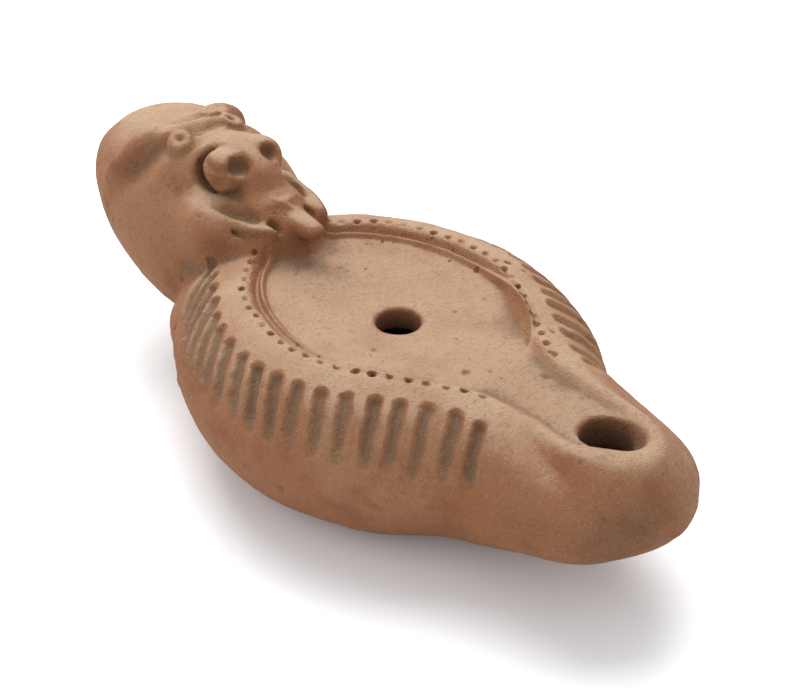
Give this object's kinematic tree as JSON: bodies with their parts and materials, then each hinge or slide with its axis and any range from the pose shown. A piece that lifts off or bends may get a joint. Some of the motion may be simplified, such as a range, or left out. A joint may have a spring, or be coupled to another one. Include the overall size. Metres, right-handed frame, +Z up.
{
  "type": "roman oil lamp",
  "caption": "Moulded clay oil lamp with a sunken top, filling hole, channel to a wick hole in a broad nozzle, pressed strokes on the shoulder and an animal's head as its handle.",
  "frame": {"origin": "on the surface the lamp stands on, under the middle of its overall length and width", "axes": "+Z up, +Y from the nozzle towards the handle, +X across the lamp"},
  "size_m": [0.0682, 0.139, 0.0443],
  "materials": {
    "fired_clay": "unglazed fired reddish clay, worn and a little dusty"
  },
  "bodies": {
    "root": {"lamp": "fired_clay"}
  },
  "joints": []
}
